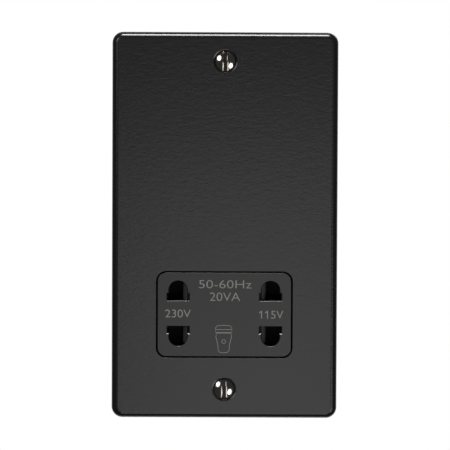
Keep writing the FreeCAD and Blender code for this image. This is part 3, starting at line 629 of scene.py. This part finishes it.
def stroke(name, paths, width):
    """Printed lines of one width along each path of (x, z) points, as thick as the other print."""
    mesh = bmesh.new()
    for points, closed in paths:
        count = len(points)
        corners = []
        for n, point in enumerate(points):
            before = points[n - 1] if n or closed else point
            after = points[(n + 1) % count] if n < count - 1 or closed else point
            run = (Vector(after) - Vector(before)).normalized()
            side = Vector((-run.y, run.x)) * width / 2
            corners.append([mesh.verts.new(Vector((point[0] + s * side.x, front + d * print_height / 2,
                                                   point[1] + s * side.y)) * mm)
                            for s, d in ((-1, -1), (1, -1), (1, 1), (-1, 1))])
        for n in range(0 if closed else 1, count):
            for k in range(4):
                mesh.faces.new((corners[n - 1][k - 1], corners[n][k - 1], corners[n][k], corners[n - 1][k]))
        if not closed:
            mesh.faces.new(corners[0])
            mesh.faces.new(corners[-1])
    bmesh.ops.recalc_face_normals(mesh, faces=mesh.faces)
    piece = placed(name, mesh)
    piece.data.materials.append(ink)
    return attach(piece, "housing")


# The two ones are drawn as strokes, because they stand closer and have a longer flag than the font's.
one_width, one_top, one_foot, flag_reach, flag_start = 0.37, -31.3, -34.2, 0.85, 0.2
ones = []
for x in (13.7, 15.9):
    ones += [([(x, one_top), (x, one_foot)], False),
             ([(x - flag_reach, one_top - flag_reach), (x - one_width / 2, one_top - flag_start)], False)]
stroke("print_115_ones", ones, one_width)

# The shaver's outline: its body, its head with the line under the foil, and a button.
mark_x, mark_z, mark_line = -0.2, -41.8, 0.21
button_radius, button_drop, foil_half, foil_rise = 0.7, 0.9, 3.0, 3.5
body_line = [(mark_x + u, mark_z + w) for u, w in (
    (-2.6, 2.2), (-2.9, 1.0), (-2.5, -0.6), (-2.1, -2.4), (-2.0, -4.2), (-1.4, -4.9), (0, -5.1),
    (1.4, -4.9), (2.0, -4.2), (2.1, -2.4), (2.5, -0.6), (2.9, 1.0), (2.6, 2.2),
)]
head_line = [(mark_x + u, mark_z + w) for u, w in (
    (-3.0, 2.4), (-3.0, 4.2), (-2.4, 4.9), (0, 5.1), (2.4, 4.9), (3.0, 4.2), (3.0, 2.4),
)]
button = [(mark_x + button_radius * math.cos(a), mark_z - button_drop + button_radius * math.sin(a))
          for a in arc(0, 337.5, 15)]
foil_line = [(mark_x - foil_half, mark_z + foil_rise), (mark_x + foil_half, mark_z + foil_rise)]
stroke("print_shaver", [(body_line, True), (head_line, True), (button, True), (foil_line, False)], mark_line)


# Interlock shutter: one black acetal moulding that slides behind the insert. A pin in one outlet pushes
# its ramped end aside, which shuts the apertures of the other outlet and works the switch.

shutter_edge = 0.5

# Black acetal: dull flats from the mould; ramps rubbed smooth by the pins and coloured paler: painted
# highlight.
acetal, tree, place = material("moulded_black_acetal_painted_highlight")
rub_size = 0.25  # mm
rub = add(tree, "ShaderNodeTexNoise", {
    "Vector": place, "Scale": 1000 / rub_size, "Detail": 2.0,
}).outputs["Fac"]
facing = add(tree, "ShaderNodeSeparateXYZ", {
    0: add(tree, "ShaderNodeTexCoord").outputs["Normal"],
}).outputs["Y"]
tilted = add(tree, "ShaderNodeMapRange", {
    "Value": facing, "From Min": -0.995, "From Max": -0.96,
}, interpolation_type="SMOOTHSTEP").outputs["Result"]
upright = add(tree, "ShaderNodeMapRange", {
    "Value": facing, "From Min": -0.6, "From Max": -0.3, "To Min": 1.0, "To Max": 0.0,
}, interpolation_type="SMOOTHSTEP").outputs["Result"]
rubbed_and_painted_highlight = add(tree, "ShaderNodeMath", {0: tilted, 1: upright}, operation="MULTIPLY").outputs[0]
# Faces that tilt from the front are coloured paler grey: a painted highlight.
shade = add(tree, "ShaderNodeMix", {0: rubbed_and_painted_highlight, 6: paint("#0f0f0f"), 7: paint("#4c4c4c")}, data_type="RGBA")
dullness = add(tree, "ShaderNodeMapRange", {
    "Value": rubbed_and_painted_highlight, "To Min": 0.75, "To Max": 0.45,
}).outputs["Result"]
worn = add(tree, "ShaderNodeBump", {"Height": rub, "Strength": 0.3, "Distance": 0.01 * mm}).outputs["Normal"]
shader = add(tree, "ShaderNodeBsdfPrincipled", {
    "Base Color": shade.outputs[2], "Roughness": dullness, "IOR": 1.48, "Normal": worn,
}).outputs[0]
add(tree, "ShaderNodeOutputMaterial", {"Surface": shader})
dress(["interlock_shutter"], acetal, shutter_edge, segments=4)


# Return springs: two coils of hard drawn spring wire with closed ends, between the base's post and the
# ends of the shutter's window. They centre the shutter, so each one shortens or lengthens as it slides.

coil_radius, wire_radius = 0.95, 0.15
coil_y, coil_z = -0.7, -32.4
coil_start, coil_end = 1.35, 8.45
closed_turn, closed_pitch, open_turns = 0.9, 2.1 * wire_radius, 5
turn_steps, wire_sides = 24, 8

# Drawn spring wire: bright grey steel with fine die lines along the wire and a trace of oil.
spring_wire, tree, place = material("drawn_spring_steel_wire")
die_line = 0.08  # mm, coarser than real die lines so that they show
lines = add(tree, "ShaderNodeTexNoise", {
    "Vector": place, "Scale": 1000 / die_line, "Detail": 2.0,
}).outputs["Fac"]
polish = add(tree, "ShaderNodeMapRange", {"Value": lines, "To Min": 0.22, "To Max": 0.38}).outputs["Result"]
shader = add(tree, "ShaderNodeBsdfPrincipled", {
    "Base Color": paint("#b4b4b6"), "Metallic": 1.0, "Roughness": polish,
}).outputs[0]
add(tree, "ShaderNodeOutputMaterial", {"Surface": shader})
open_reach = coil_end - coil_start - 2 * closed_turn * closed_pitch
along = Vector((1, 0, 0))
for name, side in (("left", -1), ("right", 1)):
    coil = bmesh.new()
    wire_rings = []
    for n in range(int((2 * closed_turn + open_turns) * turn_steps) + 1):
        turn = n / turn_steps
        run = min(max(turn - closed_turn, 0), open_turns) / open_turns
        ends = min(turn, closed_turn) + max(turn - closed_turn - open_turns, 0)
        x = coil_start + ends * closed_pitch + run * open_reach
        angle = 2 * math.pi * turn
        out = Vector((0, math.cos(angle), math.sin(angle)))
        middle = Vector((side * x, coil_y, coil_z)) + coil_radius * out
        wire_rings.append([
            coil.verts.new((middle + wire_radius * (math.cos(a) * out + math.sin(a) * along)) * mm)
            for a in arc(0, 360 - 360 / wire_sides, wire_sides - 1)
        ])
    for a, b in zip(wire_rings, wire_rings[1:]):
        for n in range(wire_sides):
            coil.faces.new((a[n - 1], a[n], b[n], b[n - 1]))
    coil.faces.new(wire_rings[0])
    coil.faces.new(wire_rings[-1])
    bmesh.ops.recalc_face_normals(coil, faces=coil.faces)
    for face in coil.faces:
        face.smooth = True
    spring = placed("coil_spring_" + name, coil)
    spring.data.materials.append(spring_wire)
    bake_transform(spring)
    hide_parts("return_spring_" + name)


# Switch strips, their bridge and the four leaf contacts: stamped and bent from phosphor bronze strip. The
# bridge rides on the shutter and joins the two strips, and the leaves press on the pins.

stamped_edge = 0.05

# Rolled phosphor bronze: reddish gold with fine rolling lines along the strip and a light brown tarnish.
bronze, tree, place = material("rolled_phosphor_bronze")
rolling_line = 0.1  # mm
along_strip = add(tree, "ShaderNodeMapping", {"Vector": place, "Scale": (1.0, 0.06, 1.0)}).outputs[0]
rolled = add(tree, "ShaderNodeTexNoise", {
    "Vector": along_strip, "Scale": 1000 / rolling_line, "Detail": 3.0,
}).outputs["Fac"]
tarnish_size = 2.5  # mm
tarnish = add(tree, "ShaderNodeTexNoise", {
    "Vector": place, "Scale": 1000 / tarnish_size, "Detail": 4.0,
}).outputs["Fac"]
shade = add(tree, "ShaderNodeMix", {0: tarnish, 6: paint("#c08a5c"), 7: paint("#8f5f3d")}, data_type="RGBA")
polish = add(tree, "ShaderNodeMapRange", {"Value": rolled, "To Min": 0.24, "To Max": 0.42}).outputs["Result"]
shader = add(tree, "ShaderNodeBsdfPrincipled", {
    "Base Color": shade.outputs[2], "Metallic": 1.0, "Roughness": polish,
}).outputs[0]
add(tree, "ShaderNodeOutputMaterial", {"Surface": shader})
dress(["switch_strip_common", "switch_strip_load", "switch_bridge", "contact_230v_lower",
       "contact_230v_upper", "contact_115v_lower", "contact_115v_upper"], bronze, stamped_edge, segments=1)


# Contact base: a black glass-filled nylon moulding behind the insert, with the shutter's channel, the
# switch's pocket and a tower round each outlet's contacts.

base_edge = 0.15
dress(["contact_base"], glass_nylon, base_edge, merged=True)


# Mechanism screws: two small pan-head thread-forming screws that hold the base to the insert from behind.
# Core screws: four long ones through the corners of the transformer core into posts on the rear wall.

# Bright zinc plate: a cool, slightly blue silver, satin over the headed steel, with a light bloom.
zinc, tree, place = material("bright_zinc_plated_steel")
bloom_size = 0.8  # mm
bloom = add(tree, "ShaderNodeTexNoise", {
    "Vector": place, "Scale": 1000 / bloom_size, "Detail": 3.0,
}).outputs["Fac"]
shade = add(tree, "ShaderNodeMix", {0: bloom, 6: paint("#b9bec4"), 7: paint("#ced1d3")}, data_type="RGBA")
polish = add(tree, "ShaderNodeMapRange", {"Value": bloom, "To Min": 0.24, "To Max": 0.42}).outputs["Result"]
shader = add(tree, "ShaderNodeBsdfPrincipled", {
    "Base Color": shade.outputs[2], "Metallic": 1.0, "Roughness": polish,
}).outputs[0]
add(tree, "ShaderNodeOutputMaterial", {"Surface": shader})
inner_screw_edge = 0.15
dress(["mechanism_screws", "core_screws"], zinc, inner_screw_edge)


# Transformer core: stacks of E and I laminations, 0.5 mm silicon steel punchings laid front to back and
# varnished together, screwed to posts on the housing's rear wall.

lamination, punched_edge = 0.5, 0.1

# Varnished laminations: dark blue-grey steel edges, with brown lines of varnish between the sheets, drawn
# at every second sheet so that they show. The wave pattern's own period is pi / 10.
core_steel, tree, place = material("varnished_silicon_steel_laminations")
sheets = add(tree, "ShaderNodeTexWave", {
    "Vector": place, "Scale": 1000 / (2 * lamination) * math.pi / 10, "Distortion": 0.0,
}, wave_type="BANDS", bands_direction="Y", wave_profile="SIN").outputs["Fac"]
seams = add(tree, "ShaderNodeMapRange", {
    "Value": sheets, "From Min": 0.0, "From Max": 0.35,
}).outputs["Result"]
stain_size = 4.0  # mm
stain = add(tree, "ShaderNodeTexNoise", {
    "Vector": place, "Scale": 1000 / stain_size, "Detail": 4.0,
}).outputs["Fac"]
steel = add(tree, "ShaderNodeMix", {0: stain, 6: paint("#5d6066"), 7: paint("#6f6a62")}, data_type="RGBA")
shade = add(tree, "ShaderNodeMix", {0: seams, 6: paint("#3a2a1a"), 7: steel.outputs[2]}, data_type="RGBA")
grooves = add(tree, "ShaderNodeBump", {
    "Height": seams, "Strength": 0.6, "Distance": 0.05 * mm,
}).outputs["Normal"]
shader = add(tree, "ShaderNodeBsdfPrincipled", {
    "Base Color": shade.outputs[2], "Metallic": 0.8, "Roughness": 0.42, "Normal": grooves,
}).outputs[0]
add(tree, "ShaderNodeOutputMaterial", {"Surface": shader})
dress(["core_e_stack", "core_i_stack"], core_steel, punched_edge, segments=1, merged=True)


# Winding bobbin: one natural nylon moulding, a tube round the core's middle leg with three flanges, which
# keeps the two windings apart.

bobbin_edge = 0.15
dress(["winding_bobbin"], nylon, bobbin_edge)


# Windings: enamelled copper wire in layers, one coil on each side of the bobbin's middle flange. Each is
# wrapped in yellow polyester tape, which holds the wire and insulates it from the core.

tape_width = 12.0

# Polyester tape: glossy translucent yellow over the copper, with an edge line at each turn and small
# wrinkles round the coil's corners.
tape, tree, place = material("yellow_polyester_winding_tape")
turns = add(tree, "ShaderNodeTexWave", {
    "Vector": place, "Scale": 1000 / tape_width * math.pi / 10, "Distortion": 0.3, "Detail": 1.0,
}, wave_type="BANDS", bands_direction="Z", wave_profile="SAW").outputs["Fac"]
crease_size = 1.5  # mm
crease = add(tree, "ShaderNodeTexNoise", {
    "Vector": place, "Scale": 1000 / crease_size, "Detail": 3.0,
}).outputs["Fac"]
height = add(tree, "ShaderNodeMath", {0: turns, 1: crease}, operation="ADD").outputs[0]
folds = add(tree, "ShaderNodeBump", {
    "Height": height, "Strength": 0.6, "Distance": 0.06 * mm,
}).outputs["Normal"]
shade = add(tree, "ShaderNodeMix", {0: crease, 6: paint("#d8a62e"), 7: paint("#b9801f")}, data_type="RGBA")
shader = add(tree, "ShaderNodeBsdfPrincipled", {
    "Base Color": shade.outputs[2], "Roughness": 0.28, "IOR": 1.6, "Normal": folds,
}).outputs[0]
add(tree, "ShaderNodeOutputMaterial", {"Surface": shader})
dress(["primary_winding", "secondary_winding"], tape)


# Thermal cut-out: a small bimetal switch in a shrunk black polyester sleeve, laid on the winding so that
# it feels its heat and opens the circuit in time.

sleeve_edge = 0.3

# Shrunk sleeve: glossy black film, drawn tight, with soft ripples.
sleeve, tree, place = material("shrunk_black_polyester_sleeve")
ripple_size = 1.2  # mm
ripple = add(tree, "ShaderNodeTexNoise", {
    "Vector": place, "Scale": 1000 / ripple_size, "Detail": 1.0,
}).outputs["Fac"]
drawn = add(tree, "ShaderNodeBump", {
    "Height": ripple, "Strength": 0.5, "Distance": 0.05 * mm,
}).outputs["Normal"]
shader = add(tree, "ShaderNodeBsdfPrincipled", {
    "Base Color": paint("#151515"), "Roughness": 0.2, "IOR": 1.6, "Normal": drawn,
}).outputs[0]
add(tree, "ShaderNodeOutputMaterial", {"Surface": shader})
dress(["thermal_cutout"], sleeve, sleeve_edge)


# Rear housing: one white flame-retardant moulding that closes the back, deeper over the transformer, with
# vents, terminal barriers and four ears that take the screws into the mounting frame.

housing_edge = 0.5

# Moulded housing: matt off-white from a spark-eroded tool, a little yellower in the thicker places.
white_moulding, tree, place = material("moulded_white_flame_retardant_nylon")
erosion = 0.35  # mm, coarser than the real 0.05 so that it shows
eroded = add(tree, "ShaderNodeTexNoise", {
    "Vector": place, "Scale": 1000 / erosion, "Detail": 3.0,
}).outputs["Fac"]
sink_size = 22.0  # mm
sink = add(tree, "ShaderNodeTexNoise", {
    "Vector": place, "Scale": 1000 / sink_size, "Detail": 1.0,
}).outputs["Fac"]
shade = add(tree, "ShaderNodeMix", {0: sink, 6: paint("#cfcec8"), 7: paint("#c6c4ba")}, data_type="RGBA")
grain = add(tree, "ShaderNodeBump", {
    "Height": eroded, "Strength": 0.5, "Distance": 0.02 * mm,
}).outputs["Normal"]
shader = add(tree, "ShaderNodeBsdfPrincipled", {
    "Base Color": shade.outputs[2], "Roughness": 0.5, "IOR": 1.53, "Normal": grain,
}).outputs[0]
add(tree, "ShaderNodeOutputMaterial", {"Surface": shader})
dress(["rear_housing"], white_moulding, housing_edge)


# Housing screws: four thread-forming steel screws, pan head with a cross recess, zinc plated, driven
# through the housing's ears into the frame's bosses.

ear_x, ear_z, ear_rear = 22.0, 57.0, 7.0
pan_radius, pan_height, pan_round, pan_chamfer = 2.7, 1.9, 0.75, 0.15
ear_thread, ear_core, ear_tip = 1.4, 1.1, -3.15
nose_start, nose_end, nose_length = 0.99, 0.55, 0.4
forming_pitch, forming_flank = 1.1, 0.35
# The cross recess has four arms, narrower at their ends, and tapers towards its floor.
cross_reach, cross_half, cross_end = 1.55, 0.36, 0.6
cross_dip, cross_depth, cross_taper = 0.12, 1.2, 0.55


def pan_head(mesh, x, z, seat, radius, height):
    """A pan head whose crown holds a cross recess, from seat to seat + height."""
    crown = seat + height
    spokes = []
    for arm in range(4):
        turn = math.pi / 2 * arm
        half = cross_half * cross_end
        for u, w in ((cross_reach, -half), (cross_reach, half), (cross_half, cross_half)):
            spokes.append((u * math.cos(turn) - w * math.sin(turn), u * math.sin(turn) + w * math.cos(turn)))
    top = [mesh.verts.new(Vector((x + u, crown - cross_dip, z + w)) * mm) for u, w in spokes]
    deep = [mesh.verts.new(Vector((x + u * cross_taper, crown - cross_depth, z + w * cross_taper)) * mm)
            for u, w in spokes]
    for n in range(len(top)):
        mesh.faces.new((top[n - 1], top[n], deep[n], deep[n - 1]))
    mesh.faces.new(deep)
    profile = [(radius * math.cos(a), crown - pan_round + pan_round * math.sin(a)) for a in arc(42, 0, 6)]
    profile += [(radius, seat + pan_chamfer), (radius - pan_chamfer, seat)]
    loops = lathe(mesh, profile, x, z, steps=36, closed_end=False)
    rim = [mesh.edges.get((loops[0][n - 1], loops[0][n])) for n in range(len(loops[0]))]
    cut = [mesh.edges.get((top[n - 1], top[n])) for n in range(len(top))]
    bmesh.ops.triangle_fill(mesh, edges=rim + cut, use_beauty=True)
    return loops[-1]


ear_screws = bmesh.new()
for x in (-ear_x, ear_x):
    for z in (-ear_z, ear_z):
        under_head = pan_head(ear_screws, x, z, ear_rear, pan_radius, pan_height)
        thread = [(ear_core, ear_rear)]
        y = ear_rear - forming_pitch
        while y > ear_tip + plain_end:
            thread += [(ear_core, y + forming_flank * forming_pitch), (ear_thread, y),
                       (ear_core, y - forming_flank * forming_pitch)]
            y -= forming_pitch
        thread += [(nose_start, ear_tip + nose_length), (nose_end, ear_tip)]
        shank = lathe(ear_screws, thread, x, z, steps=24)
        head_ring = [ear_screws.edges.get((under_head[n - 1], under_head[n])) for n in range(len(under_head))]
        shank_ring = [ear_screws.edges.get((shank[0][n - 1], shank[0][n])) for n in range(len(shank[0]))]
        bmesh.ops.triangle_fill(ear_screws, edges=head_ring + shank_ring, use_beauty=True)
housing_screws = finished("housing_screw_set", ear_screws, "housing", [zinc])
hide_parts("housing_screws")


# Terminals: live, neutral and earth, sawn from drawn brass bar, bored from below for the wire and tapped
# from behind for the screw. Live and neutral are riveted to the housing, earth to the strap.

terminal_edge = 0.15

# Drawn brass: pale gold with die lines down the bar, dulled a little by handling.
brass, tree, place = material("drawn_brass_bar")
draw_line = 0.12  # mm
along_bar = add(tree, "ShaderNodeMapping", {"Vector": place, "Scale": (1.0, 1.0, 0.04)}).outputs[0]
drawn = add(tree, "ShaderNodeTexNoise", {
    "Vector": along_bar, "Scale": 1000 / draw_line, "Detail": 3.0,
}).outputs["Fac"]
touch_size = 3.0  # mm
touched = add(tree, "ShaderNodeTexNoise", {
    "Vector": place, "Scale": 1000 / touch_size, "Detail": 4.0,
}).outputs["Fac"]
shade = add(tree, "ShaderNodeMix", {0: touched, 6: paint("#d2b06a"), 7: paint("#b08c48")}, data_type="RGBA")
polish = add(tree, "ShaderNodeMapRange", {"Value": drawn, "To Min": 0.2, "To Max": 0.42}).outputs["Result"]
lines = add(tree, "ShaderNodeBump", {
    "Height": drawn, "Strength": 0.3, "Distance": 0.01 * mm,
}).outputs["Normal"]
shader = add(tree, "ShaderNodeBsdfPrincipled", {
    "Base Color": shade.outputs[2], "Metallic": 1.0, "Roughness": polish, "Normal": lines,
}).outputs[0]
add(tree, "ShaderNodeOutputMaterial", {"Surface": shader})
dress(["terminal_live", "terminal_neutral"], brass, terminal_edge)
dress(["terminal_earth"], brass, terminal_edge, merged=True)


# Terminal screws: three slotted cheese-head steel screws, zinc plated, with rolled threads. They go into
# the terminals from behind and clamp the supply wires.

terminal_pitch, terminal_z = 11.0, -6.8
cheese_radius, cheese_height, cheese_seat = 2.6, 2.2, 38.0
cheese_slot, cheese_slot_depth, cheese_slot_edge, cheese_edge = 1.2, 1.0, 0.08, 0.2
clamp_radius, clamp_core, clamp_tip = 1.5, 1.2, 35.55
clamp_pitch, clamp_plain, clamp_point, clamp_inset = 0.5, 0.3, 0.2, 0.3

clamp_screws = bmesh.new()
for x in (-terminal_pitch, 0, terminal_pitch):
    crown = cheese_seat + cheese_height
    rim = slotted_top(clamp_screws, x, terminal_z, cheese_radius - cheese_edge, crown, -1, 0,
                      cheese_slot / 2, cheese_slot_depth, cheese_slot_edge)
    skirt(clamp_screws, rim, x, terminal_z, -1, (
        (cheese_radius, crown - cheese_edge), (cheese_radius, cheese_seat), (clamp_core, cheese_seat),
    ))
    shank = threaded(clamp_core, clamp_radius, cheese_seat, clamp_tip + clamp_plain, -clamp_pitch)
    shank += [(clamp_core, clamp_tip + clamp_point), (clamp_core - clamp_inset, clamp_tip)]
    lathe(clamp_screws, shank, x, terminal_z, steps=24, closed_start=True)
terminal_screws = finished("terminal_screw_set", clamp_screws, "housing", [zinc])
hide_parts("terminal_screws")


# Earth strap: a tinned copper strip from a foot behind the plate, back along the housing's side and
# across to the earth terminal.

strap_edge = 0.1

# Hot tin on copper strip: soft grey-silver with drawn lines and slow dull patches.
tinned, tree, place = material("hot_tinned_copper_strip")
dip_line = 0.3  # mm
along_strap = add(tree, "ShaderNodeMapping", {"Vector": place, "Scale": (0.08, 0.08, 1.0)}).outputs[0]
dipped = add(tree, "ShaderNodeTexNoise", {
    "Vector": along_strap, "Scale": 1000 / dip_line, "Detail": 3.0,
}).outputs["Fac"]
dull_size = 3.5  # mm
dulled = add(tree, "ShaderNodeTexNoise", {
    "Vector": place, "Scale": 1000 / dull_size, "Detail": 3.0,
}).outputs["Fac"]
shade = add(tree, "ShaderNodeMix", {0: dulled, 6: paint("#c4c3bd"), 7: paint("#a9a8a2")}, data_type="RGBA")
polish = add(tree, "ShaderNodeMapRange", {"Value": dipped, "To Min": 0.28, "To Max": 0.5}).outputs["Result"]
waves = add(tree, "ShaderNodeBump", {
    "Height": dipped, "Strength": 0.4, "Distance": 0.02 * mm,
}).outputs["Normal"]
shader = add(tree, "ShaderNodeBsdfPrincipled", {
    "Base Color": shade.outputs[2], "Metallic": 1.0, "Roughness": polish, "Normal": waves,
}).outputs[0]
add(tree, "ShaderNodeOutputMaterial", {"Surface": shader})
dress(["earth_strap"], tinned, strap_edge)
